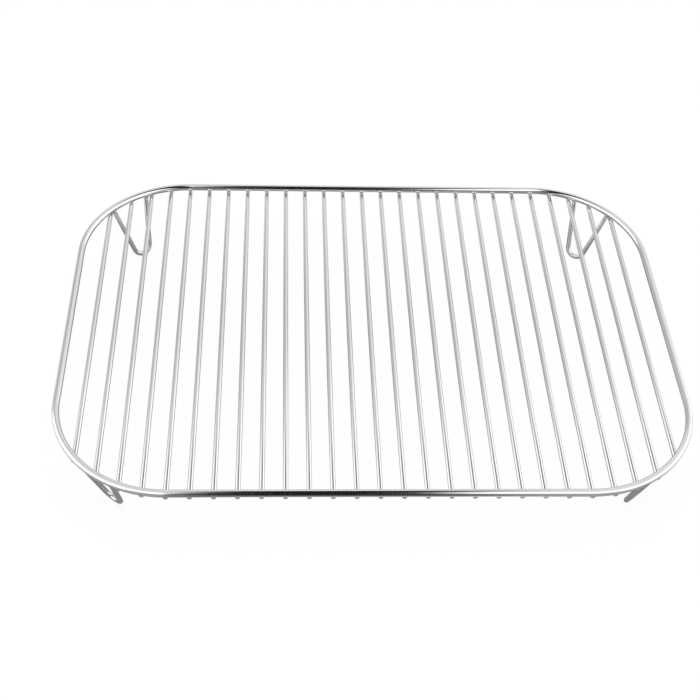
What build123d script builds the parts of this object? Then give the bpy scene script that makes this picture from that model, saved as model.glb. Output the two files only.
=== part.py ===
"""Cooking grate for a grill, made of welded round wire.

A closed frame wire with rounded corners lies on top. Straight cross bars run from front to back
and are welded to its underside. Four legs, each one length of wire bent to a narrow V, are welded
under the frame wire at the corners and lean in towards the middle.

Millimetres, Z up. The origin is on the ground, under the middle of the grate. X runs along the
length and Y along the bars.
"""
import os
from math import acos, asin, atan2, cos, hypot, radians, sin, sqrt

from build123d import *

# Frame wire
frame_length = 428.0      # overall, along X
frame_width = 310.0       # overall, along Y
frame_corner = 80.0       # outside radius of each corner
frame_wire = 5.0          # diameter
grate_height = 47.0       # from the ground to the top of the frame wire

# Cross bars
bar_wire = 3.5            # diameter
bar_end_step = 16.5       # from the middle of the frame wire at each side to the middle of the bar next to it
bar_spacing = 15.0        # wanted from the middle of a bar to the middle of the next
bar_overhang = 0.5        # how far a bar runs past the middle of the frame wire
bar_setdown = 0.4         # how deep a bar is pressed on to the frame wire

# Legs
leg_wire = 3.5            # diameter
leg_spread = 30.0         # between the middles of the two arms, at the welds
leg_bend = 7.0            # radius of the foot, at the middle of the wire
leg_tilt = 19.0           # degrees that the V leans in from upright
leg_place = 38.5          # degrees round the corner, from the long side to the middle of the leg

# Flats round the wire, in place of a true round, to keep the model light
wire_sides = 16           # frame and legs
bar_sides = 12            # bars, with fewer as there are many

# What follows from these
frame_radius = frame_wire / 2
bar_radius = bar_wire / 2
leg_radius = leg_wire / 2
span_x = frame_length - frame_wire
span_y = frame_width - frame_wire
corner_radius = frame_corner - frame_radius
corner_x = span_x / 2 - corner_radius
corner_y = span_y / 2 - corner_radius
frame_z = grate_height - frame_radius
bar_z = frame_z - (frame_radius + bar_radius - bar_setdown)
bar_span = span_x - 2 * bar_end_step
bar_steps = round(bar_span / bar_spacing)
bar_step = bar_span / bar_steps
up = Vector(0, 0, 1)


def wire_along(path, radius, sides, facing):
    """Wire that follows a path, with a flat that looks along the facing direction at its start."""
    outline = RegularPolygon(radius, sides, major_radius=False, rotation=180 / sides)
    section = Plane(origin=path @ 0, x_dir=facing, z_dir=path % 0) * outline
    return sweep(section, path=path)


def make_frame():
    """The closed frame wire."""
    outline = RectangleRounded(span_x, span_y, corner_radius).face().outer_wire()
    return wire_along(Pos(0, 0, frame_z) * outline, frame_radius, wire_sides, up)


def bar_reach(x):
    """Distance from the middle of a bar at x to the middle of the frame wire above its end."""
    into_corner = max(0.0, abs(x) - corner_x)
    return corner_y + sqrt(corner_radius ** 2 - into_corner ** 2)


def make_bar(x, frame):
    """A straight cross bar, set down on the frame wire at both ends."""
    half_length = bar_reach(x) + bar_overhang
    path = Line((x, -half_length, bar_z), (x, half_length, bar_z))
    return wire_along(path, bar_radius, bar_sides, up) - frame


def leg_plane(side_x, side_y):
    """Plane of one leg: its origin is between the two welds and its Y axis runs up the V."""
    place = radians(leg_place)
    tilt = radians(leg_tilt)
    outward = Vector(side_x * sin(place), side_y * cos(place), 0)
    reach = corner_radius * cos(asin(leg_spread / 2 / corner_radius))
    corner = Vector(side_x * corner_x, side_y * corner_y, frame_z)
    return Plane(
        origin=corner + outward * reach,
        x_dir=up.cross(outward),
        z_dir=outward * cos(tilt) - up * sin(tilt),
    )


def leg_path(plane):
    """Middle of the leg wire: two arms, from the middle of the frame wire, that run into the round foot."""
    half_spread = leg_spread / 2
    depth = (frame_z - leg_radius) / cos(radians(leg_tilt))
    to_bend = depth - leg_bend
    turn = atan2(to_bend, half_spread) - acos(leg_bend / hypot(half_spread, to_bend))
    touch = Vector(leg_bend * cos(turn), leg_bend * sin(turn) - to_bend)
    right = Line((half_spread, 0), (touch.X, touch.Y))
    foot = ThreePointArc((touch.X, touch.Y), (0, -depth), (-touch.X, touch.Y))
    left = Line((-touch.X, touch.Y), (-half_spread, 0))
    return plane * Wire([right, foot, left])


def make_leg(side_x, side_y, frame):
    """One bent leg, its ends hollowed to the frame wire; a flat of its foot lies on the ground."""
    plane = leg_plane(side_x, side_y)
    path = leg_path(plane)
    level = plane.z_dir.rotate(Axis((0, 0, 0), path % 0), leg_tilt)
    return wire_along(path, leg_radius, wire_sides, level) - frame


def make_parts():
    """Every wire of the grate, by name."""
    frame = make_frame()
    parts = {"frame_wire": frame}
    for place in range(bar_steps + 1):
        parts[f"bar_{place + 1:02d}"] = make_bar(place * bar_step - bar_span / 2, frame)
    for end_name, side_y in (("front", -1), ("back", 1)):
        for side_name, side_x in (("left", -1), ("right", 1)):
            parts[f"leg_{end_name}_{side_name}"] = make_leg(side_x, side_y, frame)
    return parts


os.makedirs("parts", exist_ok=True)
for name, solid in make_parts().items():
    export_step(solid, f"parts/{name}.step")
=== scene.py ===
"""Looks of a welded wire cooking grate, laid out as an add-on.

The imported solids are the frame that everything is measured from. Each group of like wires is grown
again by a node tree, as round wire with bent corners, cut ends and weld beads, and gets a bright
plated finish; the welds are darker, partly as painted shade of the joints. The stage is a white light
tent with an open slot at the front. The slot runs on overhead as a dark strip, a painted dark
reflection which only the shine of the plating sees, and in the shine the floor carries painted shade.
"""
from math import acos, asin, atan2, copysign, cos, hypot, pi, radians, sin

import bpy
from bpy.props import FloatProperty, FloatVectorProperty, IntProperty, PointerProperty
from mathutils import Matrix, Vector


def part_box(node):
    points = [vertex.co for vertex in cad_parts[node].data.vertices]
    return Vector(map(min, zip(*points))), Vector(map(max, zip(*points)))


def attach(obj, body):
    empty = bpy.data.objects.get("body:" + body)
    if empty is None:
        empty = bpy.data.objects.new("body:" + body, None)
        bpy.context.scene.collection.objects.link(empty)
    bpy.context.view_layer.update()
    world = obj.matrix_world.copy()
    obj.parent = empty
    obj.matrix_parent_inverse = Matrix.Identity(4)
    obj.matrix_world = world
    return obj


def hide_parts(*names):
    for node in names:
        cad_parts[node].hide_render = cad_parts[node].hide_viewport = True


bl_info = {
    "name": "Cooking grate",
    "version": (1, 0, 0),
    "blender": (4, 5, 0),
    "location": "3D View > Sidebar > Grate",
    "description": "Grows the wires of a cooking grate over its solids and sets them in a light tent",
    "category": "Object",
}

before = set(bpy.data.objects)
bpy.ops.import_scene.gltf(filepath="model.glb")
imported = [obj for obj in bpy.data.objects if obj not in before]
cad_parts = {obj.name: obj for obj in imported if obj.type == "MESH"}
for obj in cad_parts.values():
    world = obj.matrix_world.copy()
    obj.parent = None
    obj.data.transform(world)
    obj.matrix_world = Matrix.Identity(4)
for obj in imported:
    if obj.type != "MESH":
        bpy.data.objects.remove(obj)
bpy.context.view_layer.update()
RIM = "frame_wire"
BARS = sorted(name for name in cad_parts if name.startswith("bar_"))
LEGS = sorted(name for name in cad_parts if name.startswith("leg_"))
RIM_LOW, RIM_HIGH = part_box(RIM)
BAR_LOW, BAR_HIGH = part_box(BARS[len(BARS) // 2])
UP = Vector((0, 0, 1))
WHITE = (1.0, 1.0, 1.0, 1.0)


def length(name, description, default):
    """A size in metres."""
    return FloatProperty(
        name=name, description=description, default=default, min=0, precision=5, unit="LENGTH")


def half_sizes(name, description, default):
    """Three half sizes in metres."""
    return FloatVectorProperty(
        name=name, description=description, default=default, size=3, precision=5, subtype="XYZ",
        unit="LENGTH")


def angle(name, description, degrees):
    """An angle, given in degrees."""
    return FloatProperty(name=name, description=description, default=radians(degrees), subtype="ANGLE")


def share(name, description, default):
    """A plain number from nothing upwards."""
    return FloatProperty(name=name, description=description, default=default, min=0)


def colour(name, description, default):
    """A colour."""
    return FloatVectorProperty(
        name=name, description=description, default=default, size=3, subtype="COLOR", min=0, max=1)


class GrateSizes(bpy.types.PropertyGroup):
    """Sizes of the wires, the bends and the welds."""

    rim_wire: length("Frame wire", "Diameter of the closed frame wire", RIM_HIGH.z - RIM_LOW.z)
    rim_corner: length("Frame corner", "Outside radius of each corner of the frame wire", 0.080)
    bar_wire: length("Bar wire", "Diameter of the cross bars", BAR_HIGH.x - BAR_LOW.x)
    bar_overhang: length("Bar overhang", "How far a bar runs past the middle of the frame wire", 0.0005)
    bar_edge: length("Bar edge", "Rounding of a bar's cut end", 0.0004)
    leg_wire: length("Leg wire", "Diameter of the legs", 0.0035)
    leg_spread: length("Leg spread", "Between the two arms of a leg at the welds", 0.030)
    leg_bend: length("Leg bend", "Radius of the foot at the middle of the wire", 0.007)
    leg_tuck: length("Leg tuck", "How far short of the frame wire's middle an arm ends", 0.0010)
    leg_tilt: angle("Leg tilt", "How far a leg leans in from upright", 19)
    leg_place: angle("Leg place", "Way round the corner from the long side to the leg", 38.5)
    set_down: length("Set-down", "How deep a bar is pressed on to the frame wire", 0.0004)
    bead: half_sizes(
        "Weld bead", "Half sizes of a weld bead, along the frame wire, across it and in height",
        (0.0018, 0.0017, 0.0008))
    leg_bead: half_sizes(
        "Leg weld bead", "Half sizes of a leg's weld bead, across the leg, along its arm and out of it",
        (0.0022, 0.0009, 0.0021))
    joint_bead: half_sizes(
        "Joint bead", "Half sizes of the bead on the joint of the frame wire", (0.0010, 0.0006, 0.0010))
    joint_place: FloatProperty(
        name="Joint place", description="Where along the right side the ends of the frame wire are joined",
        default=0.003, unit="LENGTH", precision=4)
    joint_proud: length("Joint height", "How far the joint's bead stands proud", 0.0002)
    bead_vary: share("Bead variation", "How much the beads vary in size, as a share", 0.12)
    bead_lump: length("Bead lumps", "Height of the lumps on a bead", 0.0003)
    sides: IntProperty(name="Sides", description="Points round each wire", default=32, min=8, max=64)
    seed: IntProperty(name="Seed", description="Start value of what varies from weld to weld", default=4)


class PlatingLook(bpy.types.PropertyGroup):
    """Colours and finish of the plating."""

    bright: colour("Bright", "Colour of the plating", (0.74, 0.74, 0.745))
    dull: colour("Dull", "Colour of the plating in its fine die lines and clouds", (0.60, 0.60, 0.605))
    pits: share("Pits", "How much the specks of the plated wire show", 0.1)
    gloss: share("Roughness", "Roughness of the plated wire", 0.035)
    # The weld colours are partly the welds' own duller tone and partly painted shade of the joints where the
    # wires meet the frame wire
    weld_bright: colour("Weld bright", "Colour of a plated weld", (0.38, 0.38, 0.385))
    weld_dull_and_shade: colour("Weld dull", "Colour in the pits of a plated weld", (0.14, 0.14, 0.145))
    weld_pits: share("Weld pits", "How much the specks of the plated welds show", 0.5)
    weld_gloss: share("Weld roughness", "Roughness of the plated welds", 0.2)
    ripple: length("Ripple", "Height of the slow waves along the drawn wire", 0.00003)


class StudioLook(bpy.types.PropertyGroup):
    """Camera, floor and light tent."""

    camera_place: FloatVectorProperty(
        name="Camera place", description="Where the camera stands",
        default=(-0.06261, -0.65535, 0.68448), size=3, subtype="TRANSLATION", unit="LENGTH", precision=5)
    camera_turn: FloatVectorProperty(
        name="Camera turn", description="How the camera is turned",
        default=(radians(44.5279), radians(-2.3010), radians(-1.9590)), size=3, subtype="EULER")
    lens: FloatProperty(name="Lens", description="Focal length", default=66.443, unit="CAMERA")
    lamp: FloatProperty(
        name="Lamp", description="Power of the soft lamp overhead", default=5.0, min=0, unit="POWER")
    lamp_size: length("Lamp size", "Side of the soft lamp", 0.9)
    lamp_height: length("Lamp height", "Height of the soft lamp", 1.3)
    floor: colour("Floor", "Colour of the floor", (0.92, 0.92, 0.92))
    floor_white: share("Floor white", "How much of the floor is plain white, with the rest shaded", 0.88)
    wall: share("Tent wall", "Brightness of the tent's walls", 0.88)
    bank: share("Tent banks", "Brightness of the lit banks, high up in front and at the sides", 1.45)
    hem: share("Tent hem", "Brightness low down in front", 0.40)
    seam: share("Tent seam", "Brightness of the walls' foot and of the seam at the back", 0.54)
    # The slot's brightness also sets the glow of the dark sheet overhead, a painted dark reflection that
    # only the shine sees; slot height places that sheet
    slot: share("Slot", "Brightness of the open slot", 0.004)
    slot_height: length("Slot height", "Height of the slot's run overhead", 0.845)
    # The floor below, at the feet and at the slot is painted shade: darker tones that only the shine sees
    mouth: share("Floor at the slot", "Brightness of the floor in front of the slot, in the shine", 0.12)
    under: share("Floor below", "Brightness of the floor below the grate, in the shine", 0.38)
    feet: share("Floor at the feet", "Brightness of the floor round the feet, in the shine", 0.28)


class Link:
    """An output of a node. Sums and products of links add Math nodes, or Vector Math nodes for vectors."""

    def __init__(self, nodes, node, socket):
        self.nodes = nodes
        self.node = node
        self.socket = socket

    def out(self, name):
        """Another output of the same node."""
        return Link(self.nodes, self.node, self.node.outputs[name])

    def joined(self, operation, first, second):
        """One Math or Vector Math node on two values."""
        vectors = [is_vector(value) for value in (first, second)]
        if not any(vectors):
            return self.nodes.add("ShaderNodeMath", {"operation": operation}, {0: first, 1: second})
        if operation == "MULTIPLY" and not all(vectors):
            vector, scale = (first, second) if vectors[0] else (second, first)
            return self.nodes.add(
                "ShaderNodeVectorMath", {"operation": "SCALE"}, {"Vector": vector, "Scale": scale})
        return self.nodes.add("ShaderNodeVectorMath", {"operation": operation}, {0: first, 1: second})

    def __add__(self, other):
        return self.joined("ADD", self, other)

    def __radd__(self, other):
        return self.joined("ADD", other, self)

    def __sub__(self, other):
        return self.joined("SUBTRACT", self, other)

    def __rsub__(self, other):
        return self.joined("SUBTRACT", other, self)

    def __mul__(self, other):
        return self.joined("MULTIPLY", self, other)

    def __rmul__(self, other):
        return self.joined("MULTIPLY", other, self)

    def __truediv__(self, other):
        return self.joined("DIVIDE", self, other)

    def __rtruediv__(self, other):
        return self.joined("DIVIDE", other, self)


def is_vector(value):
    """Whether a value or a link holds a vector."""
    if isinstance(value, Link):
        return value.socket.type == "VECTOR"
    return isinstance(value, (tuple, Vector))


class Nodes:
    """Adds nodes to a tree."""

    def __init__(self, tree):
        self.tree = tree

    def add(self, kind, settings=None, inputs=None, output=0):
        """Adds a node: its settings first, then the values or links of its inputs; gives one output."""
        node = self.tree.nodes.new(kind)
        for name, value in (settings or {}).items():
            setattr(node, name, value)
        for name, value in (inputs or {}).items():
            if isinstance(value, Link):
                self.tree.links.new(value.socket, node.inputs[name])
            else:
                node.inputs[name].default_value = value
        return Link(self, node, node.outputs[output] if len(node.outputs) else None)

    def maths(self, operation, *values):
        """A Math node that no operator stands for."""
        return self.add("ShaderNodeMath", {"operation": operation}, dict(enumerate(values)))

    def larger(self, first, second):
        """The larger of two numbers."""
        return self.maths("MAXIMUM", first, second)

    def unsigned(self, value):
        """A number without its sign."""
        return self.maths("ABSOLUTE", value)

    def vector(self, x=0.0, y=0.0, z=0.0):
        """A vector from its three parts."""
        return self.add("ShaderNodeCombineXYZ", None, {"X": x, "Y": y, "Z": z})

    def parts(self, kind):
        """The three parts of a texture coordinate."""
        place = self.add("ShaderNodeTexCoord").out(kind)
        split = self.add("ShaderNodeSeparateXYZ", None, {"Vector": place})
        return split, split.out("Y"), split.out("Z")

    def rise(self, value, start, end):
        """Goes smoothly from 0 to 1 as a value goes from start to end."""
        return self.add("ShaderNodeMapRange", {"interpolation_type": "SMOOTHSTEP"},
                        {"Value": value, "From Min": start, "From Max": end})

    def fall(self, value, start, end):
        """Goes smoothly from 1 to 0 as a value goes from start to end."""
        return 1 - self.rise(value, start, end)

    def fade(self, level, factor, aim):
        """Goes from a level to its aim as the factor goes from 0 to 1."""
        return level + factor * (aim - level)

    def blend(self, factor, first, second):
        """A mix of two colours."""
        return self.add("ShaderNodeMix", {"data_type": "RGBA"}, {0: factor, 6: first, 7: second}, 2)

    def mixed(self, factor, first, second):
        """A mix of two shaders."""
        return self.add("ShaderNodeMixShader", None, {0: factor, 1: first, 2: second})

    def glow(self, strength):
        """White light from a surface."""
        return self.add("ShaderNodeEmission", None, {"Color": WHITE, "Strength": strength})

    def noise(self, place, scale, detail=2.0):
        """Soft noise from 0 to 1."""
        return self.add("ShaderNodeTexNoise", None, {"Vector": place, "Scale": scale, "Detail": detail})


def emptied(block):
    """The nodes of a new material or world, with nothing in its tree yet."""
    block.use_nodes = True
    block.node_tree.nodes.clear()
    return Nodes(block.node_tree)


def solid(rgb):
    """A colour with its alpha."""
    return (*rgb, 1.0)


class WireTree(Nodes):
    """A geometry tree with named inputs, which grows one group of wires from loose points."""

    def __init__(self, name, numbers):
        super().__init__(bpy.data.node_groups.new(name, "GeometryNodeTree"))
        face = self.tree.interface
        face.new_socket("Points", in_out="INPUT", socket_type="NodeSocketGeometry")
        for label in numbers:
            face.new_socket(label, in_out="INPUT", socket_type="NodeSocketFloat")
        face.new_socket("Sides", in_out="INPUT", socket_type="NodeSocketInt")
        face.new_socket("Seed", in_out="INPUT", socket_type="NodeSocketInt")
        face.new_socket("Plating", in_out="INPUT", socket_type="NodeSocketMaterial")
        face.new_socket("Wire", in_out="OUTPUT", socket_type="NodeSocketGeometry")
        self.given = self.add("NodeGroupInput")

    def value(self, label):
        """One of the tree's inputs."""
        return self.given.out(label)

    def named(self, label, kind="FLOAT"):
        """A named value that the points or the mesh carry."""
        return self.add("GeometryNodeInputNamedAttribute", {"data_type": kind}, {"Name": label})

    def store(self, geometry, label, value, kind="FLOAT"):
        """Keeps a named value on each point."""
        return self.add("GeometryNodeStoreNamedAttribute", {"data_type": kind, "domain": "POINT"},
                        {"Geometry": geometry, "Name": label, "Value": value})

    def place(self, geometry, position):
        """Puts each point in its place."""
        return self.add("GeometryNodeSetPosition", None, {"Geometry": geometry, "Position": position})

    def shift(self, geometry, offset):
        """Moves each point."""
        return self.add("GeometryNodeSetPosition", None, {"Geometry": geometry, "Offset": offset})

    def line(self, points):
        """A line with a number of points, which are put in their places later."""
        plain = self.add("GeometryNodeCurvePrimitiveLine")
        return self.add("GeometryNodeResampleCurve", {"mode": "COUNT"}, {"Curve": plain, "Count": points})

    def bent(self, curve, points, radius):
        """A curve whose corners are bent to a radius, each with a number of points."""
        return self.add("GeometryNodeFilletCurve", {"mode": "POLY"},
                        {"Curve": curve, "Count": points, "Radius": radius})

    def on_points(self, shape, turn=None, scale=(1.0, 1.0, 1.0)):
        """A shape set on every loose point and made real."""
        inputs = {"Points": self.given, "Instance": shape, "Scale": scale}
        if turn is not None:
            inputs["Rotation"] = self.add("FunctionNodeEulerToRotation", None, {"Euler": turn})
        placed = self.add("GeometryNodeInstanceOnPoints", None, inputs)
        return self.add("GeometryNodeRealizeInstances", None, {"Geometry": placed})

    def smooth(self, mesh):
        """A mesh shaded smooth."""
        return self.add("GeometryNodeSetShadeSmooth", None, {"Geometry": mesh, "Shade Smooth": True})

    def wire(self, curve, radius, scale=1.0):
        """Round wire along a curve; it remembers how far along and which way round each point lies."""
        ring = self.add("GeometryNodeCurvePrimitiveCircle", {"mode": "RADIUS"},
                        {"Resolution": self.value("Sides"), "Radius": radius})
        here = self.add("GeometryNodeInputPosition")
        way = self.add("ShaderNodeVectorMath", {"operation": "NORMALIZE"}, {0: here})
        ring = self.store(ring, "around", way, "FLOAT_VECTOR")
        run = self.add("GeometryNodeSplineParameter").out("Length")
        curve = self.store(curve, "along", run)
        return self.smooth(self.add(
            "GeometryNodeCurveToMesh", None,
            {"Curve": curve, "Profile Curve": ring, "Scale": scale, "Fill Caps": True}))

    def finish(self, mesh):
        """Ends the tree: everything real, in the plating."""
        real = self.add("GeometryNodeRealizeInstances", None, {"Geometry": mesh})
        plated = self.add(
            "GeometryNodeSetMaterial", None, {"Geometry": real, "Material": self.value("Plating")})
        self.add("NodeGroupOutput", None, {"Wire": plated})
        return self.tree


def rim_tree():
    """A rectangle with bent corners, as one closed wire."""
    corner_points = 72
    tree = WireTree("Frame wire", ("Length", "Width", "Corner", "Height", "Radius"))
    outline = tree.add("GeometryNodeCurvePrimitiveQuadrilateral", {"mode": "RECTANGLE"},
                       {"Width": tree.value("Length"), "Height": tree.value("Width")})
    bent = tree.bent(outline, corner_points, tree.value("Corner"))
    raised = tree.shift(bent, tree.vector(z=tree.value("Height")))
    return tree.finish(tree.wire(raised, tree.value("Radius")))


def bar_tree():
    """A straight wire on each point, as long as the point says, with rounded cut ends."""
    end_rings = 5
    tree = WireTree("Cross bars", ("Radius", "Edge"))
    index = tree.add("GeometryNodeInputIndex")
    from_end = tree.maths("MINIMUM", index, 2 * end_rings - 1 - index)
    side = tree.maths("SIGN", index - (end_rings - 0.5))
    turn = from_end * (pi / 2 / (end_rings - 1))
    edge = tree.value("Edge")
    inset = (1 - tree.maths("COSINE", turn)) * edge
    narrow = 1 - (1 - tree.maths("SINE", turn)) * edge / tree.value("Radius")
    line = tree.line(2 * end_rings)
    line = tree.store(line, "inset", side * inset)
    line = tree.store(line, "narrow", narrow)
    line = tree.place(line, tree.vector(y=side))
    bars = tree.on_points(line, scale=tree.vector(1.0, tree.named("half_length"), 1.0))
    bars = tree.shift(bars, tree.vector(y=0 - tree.named("inset")))
    return tree.finish(tree.wire(bars, tree.value("Radius"), tree.named("narrow")))


def leg_tree():
    """A narrow V of wire with a round foot, turned into its place at each point."""
    foot_points = 48
    tree = WireTree("Legs", ("End Across", "End Up", "Apex Up", "Bend", "Radius"))
    arm = tree.add("GeometryNodeInputIndex") - 1
    apex = tree.value("Apex Up")
    climb = tree.unsigned(arm) * (tree.value("End Up") - apex)
    vee = tree.place(tree.line(3), tree.vector(arm * tree.value("End Across"), apex + climb))
    bent = tree.bent(vee, foot_points, tree.value("Bend"))
    legs = tree.on_points(bent, turn=tree.named("turn", "FLOAT_VECTOR"))
    return tree.finish(tree.wire(legs, tree.value("Radius")))


def bead_tree():
    """A small lump of plated weld on each point, no two quite alike."""
    lumps_per_metre = 900.0
    tree = WireTree("Weld beads", ("Vary", "Lump"))
    ball = tree.add("GeometryNodeMeshUVSphere", None, {"Segments": 20, "Rings": 12, "Radius": 1.0})
    least = 1 - tree.value("Vary")
    most = 1 + tree.value("Vary")
    size = tree.add("FunctionNodeRandomValue", {"data_type": "FLOAT_VECTOR"},
                    {"Min": tree.vector(least, least, least), "Max": tree.vector(most, most, most),
                     "Seed": tree.value("Seed")})
    beads = tree.on_points(ball, turn=tree.named("turn", "FLOAT_VECTOR"),
                           scale=tree.named("size", "FLOAT_VECTOR") * size)
    here = tree.add("GeometryNodeInputPosition")
    lump = (tree.noise(here, lumps_per_metre) - 0.5) * tree.value("Lump")
    beads = tree.shift(beads, tree.add("GeometryNodeInputNormal") * lump)
    return tree.finish(tree.smooth(beads))


def loose_points(name, spots, **carried):
    """Loose points, each with named numbers or vectors."""
    mesh = bpy.data.meshes.new(name)
    mesh.from_pydata([tuple(spot) for spot in spots], [], [])
    for label, values in carried.items():
        if isinstance(values[0], float):
            mesh.attributes.new(label, "FLOAT", "POINT").data.foreach_set("value", values)
        else:
            flat = [number for value in values for number in value]
            mesh.attributes.new(label, "FLOAT_VECTOR", "POINT").data.foreach_set("vector", flat)
    return mesh


def in_scene(name, data):
    """A new object in the scene."""
    made = bpy.data.objects.new(name, data)
    bpy.context.scene.collection.objects.link(made)
    return made


def grow(name, points, tree, plating, stands_for, **values):
    """Runs a tree on loose points and keeps the result as a plain piece of the grate."""
    sizes = bpy.context.scene.grate_sizes
    piece = in_scene(name, points)
    grown = piece.modifiers.new("Wire", "NODES")
    grown.node_group = tree
    values.update(Sides=sizes.sides, Seed=sizes.seed, Plating=plating)
    for item in tree.interface.items_tree:
        label = item.name.replace(" ", "_")
        if label in values:
            grown[item.identifier] = values[label]
    graph = bpy.context.evaluated_depsgraph_get()
    mesh = bpy.data.meshes.new_from_object(
        piece.evaluated_get(graph), preserve_all_data_layers=True, depsgraph=graph)
    piece.modifiers.remove(grown)
    piece.data = mesh
    mesh.name = name
    if not mesh.polygons:
        raise RuntimeError(f"{name} came out empty")
    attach(piece, "root")
    if stands_for:
        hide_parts(*stands_for)
    return piece


# Grain of the plating: die lines and waves follow the wire, clouds and specks lie anywhere
GRAIN_DETAIL = 3.0
GRAIN_SHARE = 0.35
LINE_STRETCH = 12.0
LINE_SCALE = 9.0
LINE_DEPTH = 0.06
CLOUD_SCALE = 60.0
SPECK_SCALE = 1400.0
SPECK_EDGE = (0.66, 0.80)
WAVE_TURN = 0.4
WAVES_PER_METRE = 70.0
WORN_EDGE = (0.25, 0.75)
ROUGH_LEAST = 0.6
ROUGH_WORN = 0.9


def plated_finish(name, bright, dull, gloss, pits, ripple):
    """Bright plating with fine lengthwise die lines, faint clouds and slow ripples in its shine."""
    material = bpy.data.materials.new(name)
    nodes = emptied(material)
    here = nodes.add("ShaderNodeTexCoord").out("Object")
    along = nodes.add("ShaderNodeAttribute", {"attribute_name": "along"}).out("Fac")
    around = nodes.add("ShaderNodeAttribute", {"attribute_name": "around"}).out("Vector")
    die_lines = nodes.noise(around + nodes.vector(z=along * LINE_STRETCH), LINE_SCALE, GRAIN_DETAIL)
    clouds = nodes.noise(here, CLOUD_SCALE, GRAIN_DETAIL)
    specks = nodes.rise(nodes.noise(here, SPECK_SCALE), *SPECK_EDGE)
    worn = die_lines * GRAIN_SHARE + clouds * GRAIN_SHARE + specks * pits
    tint = nodes.blend(nodes.rise(worn, *WORN_EDGE), solid(bright), solid(dull))
    rough = gloss * (ROUGH_LEAST + ROUGH_WORN * worn)
    waves = nodes.noise(around * WAVE_TURN + nodes.vector(z=along * WAVES_PER_METRE), 1.0, 1.0)
    height = waves + die_lines * LINE_DEPTH + specks * -pits
    shape = nodes.add("ShaderNodeBump", None, {"Strength": 1.0, "Distance": ripple, "Height": height})
    shader = nodes.add("ShaderNodeBsdfPrincipled", None,
                       {"Base Color": tint, "Metallic": 1.0, "Roughness": rough, "Normal": shape})
    nodes.add("ShaderNodeOutputMaterial", None, {"Surface": shader})
    return material


def wire_plating():
    """The finish of the wires, made once."""
    look = bpy.context.scene.grate_plating
    made = bpy.data.materials.get("plated_wire")
    return made or plated_finish("plated_wire", look.bright, look.dull, look.gloss, look.pits, look.ripple)


def weld_plating_and_shade():
    """The finish of the welds: a little duller and pitted, and darker, the darkness partly painted shade of
    the joints where the wires meet the frame wire.
    """
    look = bpy.context.scene.grate_plating
    return plated_finish(
        "plated_weld", look.weld_bright, look.weld_dull_and_shade, look.weld_gloss, look.weld_pits, look.ripple)


def corner_bend(sizes):
    """Radius of the frame wire's corners, at the middle of the wire."""
    return sizes.rim_corner - sizes.rim_wire / 2


def corner_middle(sizes):
    """Middle of the bend at the right-hand back corner, at the height of the frame wire."""
    inset = Vector((sizes.rim_corner, sizes.rim_corner, sizes.rim_wire / 2))
    return RIM_HIGH - inset


def leg_frames(sizes):
    """For each leg, the point between its welds and the directions across it, up it and out of it."""
    bend = corner_bend(sizes)
    reach = bend * cos(asin(sizes.leg_spread / 2 / bend))
    middle = corner_middle(sizes)
    for side_y in (-1, 1):
        for side_x in (-1, 1):
            outward = Vector((side_x * sin(sizes.leg_place), side_y * cos(sizes.leg_place), 0))
            corner = Vector((side_x * middle.x, side_y * middle.y, middle.z))
            across = UP.cross(outward)
            out = outward * cos(sizes.leg_tilt) - UP * sin(sizes.leg_tilt)
            yield corner + outward * reach, across, out.cross(across), out


def turned(across, up, out):
    """The turn that takes X, Y and Z to three square directions."""
    return Matrix((across, up, out)).transposed().to_euler()


class GRATE_OT_rim(bpy.types.Operator):
    """Grow the closed frame wire with its four bent corners"""

    bl_idname = "grate.rim"
    bl_label = "Frame wire"

    def execute(self, context):
        sizes = context.scene.grate_sizes
        radius = sizes.rim_wire / 2
        span = RIM_HIGH - RIM_LOW
        grow("rim", loose_points("rim", [(0, 0, 0)]), rim_tree(), wire_plating(), [RIM],
             Length=span.x - sizes.rim_wire, Width=span.y - sizes.rim_wire, Corner=corner_bend(sizes),
             Height=RIM_HIGH.z - radius, Radius=radius)
        return {"FINISHED"}


class GRATE_OT_bars(bpy.types.Operator):
    """Grow the straight cross bars under the frame wire"""

    bl_idname = "grate.bars"
    bl_label = "Cross bars"

    def execute(self, context):
        sizes = context.scene.grate_sizes
        radius = sizes.bar_wire / 2
        boxes = [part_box(name) for name in BARS]
        spots = [((low.x + high.x) / 2, 0, low.z + radius) for low, high in boxes]
        points = loose_points("cross_bars", spots, half_length=[high.y for low, high in boxes])
        grow("cross_bars", points, bar_tree(), wire_plating(), BARS, Radius=radius, Edge=sizes.bar_edge)
        return {"FINISHED"}


class GRATE_OT_legs(bpy.types.Operator):
    """Grow the four bent legs"""

    bl_idname = "grate.legs"
    bl_label = "Legs"

    def execute(self, context):
        sizes = context.scene.grate_sizes
        radius = sizes.leg_wire / 2
        half = sizes.leg_spread / 2
        frames = list(leg_frames(sizes))
        spots = [spot for spot, *_ in frames]
        turns = [turned(*square) for _, *square in frames]
        depth = (spots[0].z - radius) / cos(sizes.leg_tilt)
        to_bend = depth - sizes.leg_bend
        turn = atan2(to_bend, half) - acos(sizes.leg_bend / hypot(half, to_bend))
        arm = Vector((half - sizes.leg_bend * cos(turn), to_bend - sizes.leg_bend * sin(turn))).normalized()
        grow("legs", loose_points("legs", spots, turn=turns), leg_tree(), wire_plating(), LEGS,
             End_Across=half - arm.x * sizes.leg_tuck, End_Up=-arm.y * sizes.leg_tuck,
             Apex_Up=-half * arm.y / arm.x, Bend=sizes.leg_bend, Radius=radius)
        return {"FINISHED"}


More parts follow.
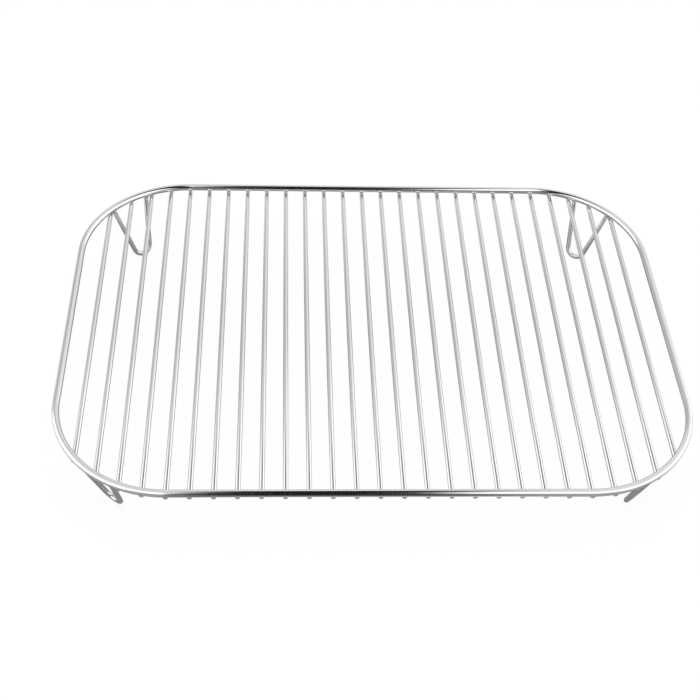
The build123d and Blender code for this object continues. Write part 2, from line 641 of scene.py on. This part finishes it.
def bar_welds(sizes):
    """The place, turn and size of the bead at each end of each bar."""
    for name in BARS:
        low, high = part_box(name)
        x = (low.x + high.x) / 2
        into_corner = max(0.0, abs(x) - corner_middle(sizes).x)
        slant = copysign(asin(into_corner / corner_bend(sizes)), x)
        for side in (-1, 1):
            spot = (x, side * (high.y - sizes.bar_overhang), high.z - sizes.set_down / 2)
            yield spot, (0, 0, -side * slant), sizes.bead


def leg_welds(sizes):
    """The place, turn and size of the bead at each end of each leg."""
    for spot, across, up, out in leg_frames(sizes):
        for side in (-1, 1):
            weld = spot + across * (side * sizes.leg_spread / 2) - up * (sizes.rim_wire / 2)
            yield weld, turned(across, up, out), sizes.leg_bead


def joint_weld(sizes):
    """The place, turn and size of the bead on the frame wire's own joint, up and out on the right side."""
    radius = sizes.rim_wire / 2
    off = (radius + sizes.joint_proud - sizes.joint_bead.x) * cos(pi / 4)
    spot = (RIM_HIGH.x - radius + off, sizes.joint_place, RIM_HIGH.z - radius + off)
    return spot, (0, 0, 0), sizes.joint_bead


class GRATE_OT_welds(bpy.types.Operator):
    """Set a weld bead where each wire meets the frame wire, and at the joint of the frame wire itself"""

    bl_idname = "grate.welds"
    bl_label = "Welds"

    def execute(self, context):
        sizes = context.scene.grate_sizes
        welds = [*bar_welds(sizes), *leg_welds(sizes), joint_weld(sizes)]
        spots, turns, beads = zip(*welds)
        points = loose_points("weld_beads", spots, turn=turns, size=beads)
        grow("weld_beads", points, bead_tree(), weld_plating_and_shade(), [],
             Vary=sizes.bead_vary, Lump=sizes.bead_lump)
        return {"FINISHED"}


# Where the parts of the tent begin and end, as X, Y or Z of the direction from the grate
TENT_FRONT_Y = (-0.40, -0.10)
BANK_Z = (0.30, 0.55)
FOOT_Z = (0.04, 0.12)
SEAM_SLOPE = 1.14
SEAM_Z = 0.95
SEAM_HALF = (0.08, 0.40)
SEAM_Y = (0.30, 0.60)
SEAM_X = (-0.20, 0.0)
SLOT_LEFT_X = (-0.15, -0.08)
SLOT_RIGHT_X = (0.12, 0.23)
SIDE_X = (0.40, 0.75)
SIDE_LEAN = 0.08
SIDE_Y = (0.56, 0.67)
SIDE_Z = (0.60, 0.85)


def tent_world(look):
    """A white light tent for the shine: banks high in front and at the sides, and a slot low in front."""
    world = bpy.data.worlds.new("light_tent")
    nodes = emptied(world)
    x, y, z = nodes.parts("Generated")
    front = nodes.fall(y, *TENT_FRONT_Y)
    high = nodes.rise(z, *BANK_Z)
    foot = nodes.fall(z, *FOOT_Z)
    seam = nodes.fall(nodes.unsigned(z - SEAM_SLOPE * x - SEAM_Z), *SEAM_HALF)
    seam = seam * nodes.rise(y, *SEAM_Y) * nodes.fall(x, *SEAM_X)
    slot = nodes.rise(x, *SLOT_LEFT_X) * nodes.fall(x, *SLOT_RIGHT_X) * (1 - high) * front
    beside = nodes.rise(nodes.unsigned(x), *SIDE_X) * nodes.fall(y - SIDE_LEAN * x, *SIDE_Y)
    beside = beside * nodes.fall(z, *SIDE_Z)
    level = nodes.fade(look.wall, nodes.larger(foot, seam), look.seam)
    level = nodes.fade(level, front, nodes.fade(look.hem, high, look.bank))
    level = nodes.fade(level, beside, look.bank)
    level = nodes.fade(level, slot, look.slot)
    shiny = nodes.add("ShaderNodeLightPath").out("Is Glossy Ray")
    light = nodes.fade(1, shiny, level)
    shader = nodes.add("ShaderNodeBackground", None, {"Color": WHITE, "Strength": light})
    nodes.add("ShaderNodeOutputWorld", None, {"Surface": shader})
    return world


# Where the painted shade of the floor in the shine begins and ends, in metres from the middle of the grate
UNDER_X = (0.16, 0.30)
UNDER_Y = (0.10, 0.24)
UNDER_FRONT_Y = (-0.16, 0.02)
FOOT_PLACE = (0.172, 0.123)
FOOT_REACH = (0.03, 0.10)
FLOOR_FRONT_Y = (-0.21, -0.155)
MOUTH_LEFT_X = (-0.17, -0.12)
MOUTH_RIGHT_X = (0.04, 0.16)


def floor_with_painted_shine_shade(look):
    """White to the eye, with the grate's soft shadow; in the shine it glows with painted shade, darker by
    the feet, below the grate, in front and at the slot.
    """
    material = bpy.data.materials.new("pale_floor")
    nodes = emptied(material)
    x, y, _ = nodes.parts("Object")
    side = nodes.unsigned(x)
    end = nodes.unsigned(y)
    under = nodes.fall(side, *UNDER_X) * nodes.fall(end, *UNDER_Y) * nodes.rise(y, *UNDER_FRONT_Y)
    from_foot = nodes.vector(side - FOOT_PLACE[0], end - FOOT_PLACE[1])
    away = nodes.add("ShaderNodeVectorMath", {"operation": "LENGTH"}, {0: from_foot}, "Value")
    front = nodes.fall(y, *FLOOR_FRONT_Y)
    mouth = front * nodes.rise(x, *MOUTH_LEFT_X) * nodes.fall(x, *MOUTH_RIGHT_X)
    # Painted shade, seen only in the shine: the floor's glow is darker below the grate, round the feet, in
    # front and at the slot
    level = nodes.fade(look.wall, under, look.under)
    level = nodes.fade(level, nodes.fall(away, *FOOT_REACH), look.feet)
    level = nodes.fade(level, front, look.hem)
    level = nodes.fade(level, mouth, look.mouth)
    path = nodes.add("ShaderNodeLightPath")
    shiny = path.out("Is Glossy Ray")
    seen = nodes.larger(nodes.larger(path.out("Is Camera Ray"), shiny), path.out("Is Transmission Ray"))
    white = nodes.larger(seen * look.floor_white, shiny)
    plain = nodes.add("ShaderNodeBsdfDiffuse", None, {"Color": solid(look.floor)})
    shader = nodes.mixed(white, plain, nodes.glow(nodes.fade(1, shiny, level)))
    from_below = nodes.add("ShaderNodeNewGeometry").out("Backfacing")
    shader = nodes.mixed(from_below, shader, nodes.add("ShaderNodeBsdfTransparent"))
    nodes.add("ShaderNodeOutputMaterial", None, {"Surface": shader})
    return material


# Where the dark strip overhead, a painted dark reflection, begins and ends, in metres, and how its sides
# lean out along Y
STRIP_LEFT_X = (-0.20, -0.12)
STRIP_RIGHT_X = (0.10, 0.21)
STRIP_END_Y = (0.30, 0.50)
LEFT_LEAN = 0.09
BACK_LEAN = 0.19
BACK_LEAN_Y = -0.3
FRONT_LEAN = 0.11
FRONT_LEAN_Y = -0.5


def dark_reflection_sheet_finish(look):
    """Dark, with soft edges that fade to nothing: a painted dark reflection, as only the shine sees this
    sheet.
    """
    material = bpy.data.materials.new("slot_top")
    nodes = emptied(material)
    x, y, _ = nodes.parts("Object")
    left = LEFT_LEAN * nodes.larger(0 - y, 0.0)
    right = BACK_LEAN * nodes.larger(y - BACK_LEAN_Y, 0.0) + FRONT_LEAN * nodes.larger(FRONT_LEAN_Y - y, 0.0)
    dark = nodes.rise(x + left, *STRIP_LEFT_X) * nodes.fall(x - right, *STRIP_RIGHT_X)
    dark = dark * nodes.fall(y, *STRIP_END_Y)
    shader = nodes.mixed(dark, nodes.add("ShaderNodeBsdfTransparent"), nodes.glow(look.slot))
    nodes.add("ShaderNodeOutputMaterial", None, {"Surface": shader})
    return material


# Two corners of each sheet of the stage, in metres
FLOOR_CORNERS = ((-6.0, -6.0), (6.0, 6.0))
STRIP_CORNERS = ((-0.5, -3.0), (0.5, 0.8))


def sheet(name, low, high, height, finish):
    """A flat level sheet of the stage."""
    mesh = bpy.data.meshes.new(name)
    outline = ((low[0], low[1]), (high[0], low[1]), (high[0], high[1]), (low[0], high[1]))
    mesh.from_pydata([(x, y, height) for x, y in outline], [], [(0, 1, 2, 3)])
    mesh.materials.append(finish)
    made = in_scene(name, mesh)
    return made


def soft_lamp(look):
    """A large lamp overhead, kept out of the shine."""
    lamp = bpy.data.lights.new("soft_lamp", "AREA")
    lamp.shape = "SQUARE"
    lamp.size = look.lamp_size
    lamp.energy = look.lamp
    stand = in_scene("soft_lamp", lamp)
    stand.location = (0, 0, look.lamp_height)
    stand.visible_glossy = False


def photo_camera(look):
    """The camera, at the angle of the photo."""
    camera = bpy.data.cameras.new("camera")
    camera.sensor_width = 36.0
    camera.lens = look.lens
    stand = in_scene("camera", camera)
    stand.location = look.camera_place
    stand.rotation_euler = look.camera_turn
    return stand


class GRATE_OT_stage(bpy.types.Operator):
    """Set up the floor, the light tent, the lamp and the camera"""

    bl_idname = "grate.stage"
    bl_label = "Stage"

    def execute(self, context):
        look = context.scene.grate_studio
        scene = context.scene
        sheet("floor", *FLOOR_CORNERS, 0.0, floor_with_painted_shine_shade(look))
        # A dark sheet overhead that only the shine sees: a painted dark reflection
        top = sheet("slot_top", *STRIP_CORNERS, look.slot_height, dark_reflection_sheet_finish(look))
        top.visible_camera = False
        top.visible_diffuse = False
        top.visible_shadow = False
        scene.world = tent_world(look)
        soft_lamp(look)
        scene.camera = photo_camera(look)
        scene.view_settings.view_transform = "Standard"
        return {"FINISHED"}


class GRATE_PT_panel(bpy.types.Panel):
    """The grate's pieces, sizes and finish"""

    bl_idname = "GRATE_PT_panel"
    bl_label = "Cooking grate"
    bl_space_type = "VIEW_3D"
    bl_region_type = "UI"
    bl_category = "Grate"

    def draw(self, context):
        for operator in OPERATORS:
            self.layout.operator(operator.bl_idname)
        for name in GROUPS:
            group = getattr(context.scene, name)
            column = self.layout.column()
            for value in group.__annotations__:
                column.prop(group, value)


GROUPS = {"grate_sizes": GrateSizes, "grate_plating": PlatingLook, "grate_studio": StudioLook}
OPERATORS = (GRATE_OT_rim, GRATE_OT_bars, GRATE_OT_legs, GRATE_OT_welds, GRATE_OT_stage)


def register():
    """Makes the groups, the operators and the panel known."""
    for name, group in GROUPS.items():
        bpy.utils.register_class(group)
        setattr(bpy.types.Scene, name, PointerProperty(type=group))
    for operator in OPERATORS:
        bpy.utils.register_class(operator)
    bpy.utils.register_class(GRATE_PT_panel)


def unregister():
    """Takes them away again."""
    bpy.utils.unregister_class(GRATE_PT_panel)
    for operator in reversed(OPERATORS):
        bpy.utils.unregister_class(operator)
    for name, group in reversed(GROUPS.items()):
        delattr(bpy.types.Scene, name)
        bpy.utils.unregister_class(group)


def main():
    """Builds the grate and its stage."""
    register()
    bpy.ops.grate.rim()
    bpy.ops.grate.bars()
    bpy.ops.grate.legs()
    bpy.ops.grate.welds()
    bpy.ops.grate.stage()


if __name__ == "__main__":
    main()
